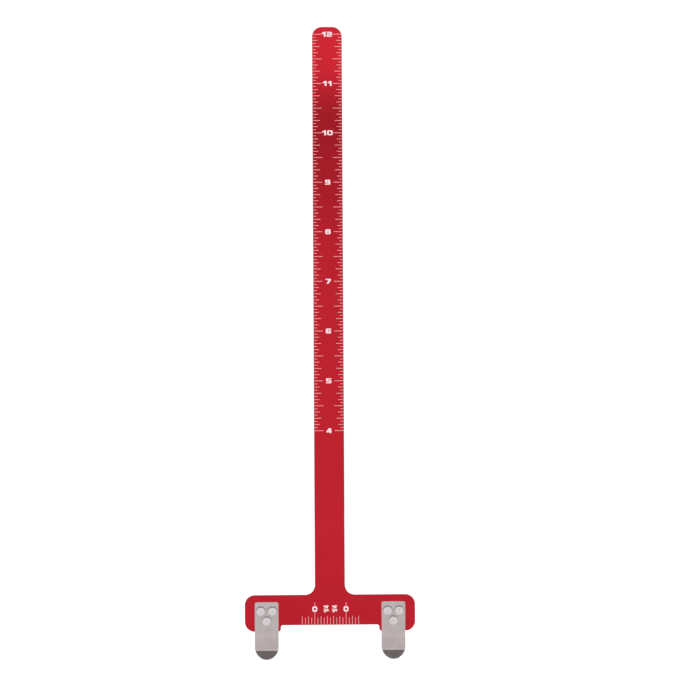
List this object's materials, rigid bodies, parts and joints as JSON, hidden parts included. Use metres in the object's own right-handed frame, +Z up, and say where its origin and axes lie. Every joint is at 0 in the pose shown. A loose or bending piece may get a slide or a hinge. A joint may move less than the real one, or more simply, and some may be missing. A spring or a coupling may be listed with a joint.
{
  "type": "bow square",
  "caption": "T-shaped archery bow square: flat inch-scale blade and head, with sprung steel clips that snap onto a bowstring to set nocking point and brace height.",
  "frame": {"origin": "where the head's two lugs rest on the bowstring, halfway between the clips and mid-thickness: the zero of the blade's inch scale", "axes": "+Z up the blade away from the string, +X along the head and the string to the viewer's right, +Y through the plate towards its back; the printed front faces -Y"},
  "size_m": [0.0864, 0.0056, 0.3226],
  "materials": {
    "anodised_plate": "satin red anodised",
    "spring_steel": "satin rolled stainless spring steel",
    "rivet_aluminium": "plain satin, unanodised",
    "scale_print": "white print on the anodised face"
  },
  "bodies": {
    "square": {"t_plate": "anodised_plate", "left_front_clip_base": "spring_steel", "left_back_clip_base": "spring_steel", "left_rivet_upper_outer": "rivet_aluminium", "left_rivet_upper_inner": "rivet_aluminium", "left_rivet_lower": "rivet_aluminium", "right_front_clip_base": "spring_steel", "right_back_clip_base": "spring_steel", "right_rivet_upper_outer": "rivet_aluminium", "right_rivet_upper_inner": "rivet_aluminium", "right_rivet_lower": "rivet_aluminium"},
    "left_front_clip_jaw": {"left_front_clip_jaw": "spring_steel"},
    "left_back_clip_jaw": {"left_back_clip_jaw": "spring_steel"},
    "right_front_clip_jaw": {"right_front_clip_jaw": "spring_steel"},
    "right_back_clip_jaw": {"right_back_clip_jaw": "spring_steel"}
  },
  "joints": [
    {"name": "left_front_jaw_flex", "type": "hinge", "parent": "square", "child": "left_front_clip_jaw", "pos_m": [-0.03215, -0.0014, 0.0014], "axis": [-1, 0, 0], "range_deg": [0, 6], "stiffness_Nm_per_rad": 2.5},
    {"name": "left_back_jaw_flex", "type": "hinge", "parent": "square", "child": "left_back_clip_jaw", "pos_m": [-0.03215, 0.0014, 0.0014], "axis": [1, 0, 0], "range_deg": [0, 6], "stiffness_Nm_per_rad": 2.5},
    {"name": "right_front_jaw_flex", "type": "hinge", "parent": "square", "child": "right_front_clip_jaw", "pos_m": [0.03215, -0.0014, 0.0014], "axis": [-1, 0, 0], "range_deg": [0, 6], "stiffness_Nm_per_rad": 2.5},
    {"name": "right_back_jaw_flex", "type": "hinge", "parent": "square", "child": "right_back_clip_jaw", "pos_m": [0.03215, 0.0014, 0.0014], "axis": [1, 0, 0], "range_deg": [0, 6], "stiffness_Nm_per_rad": 2.5}
  ]
}
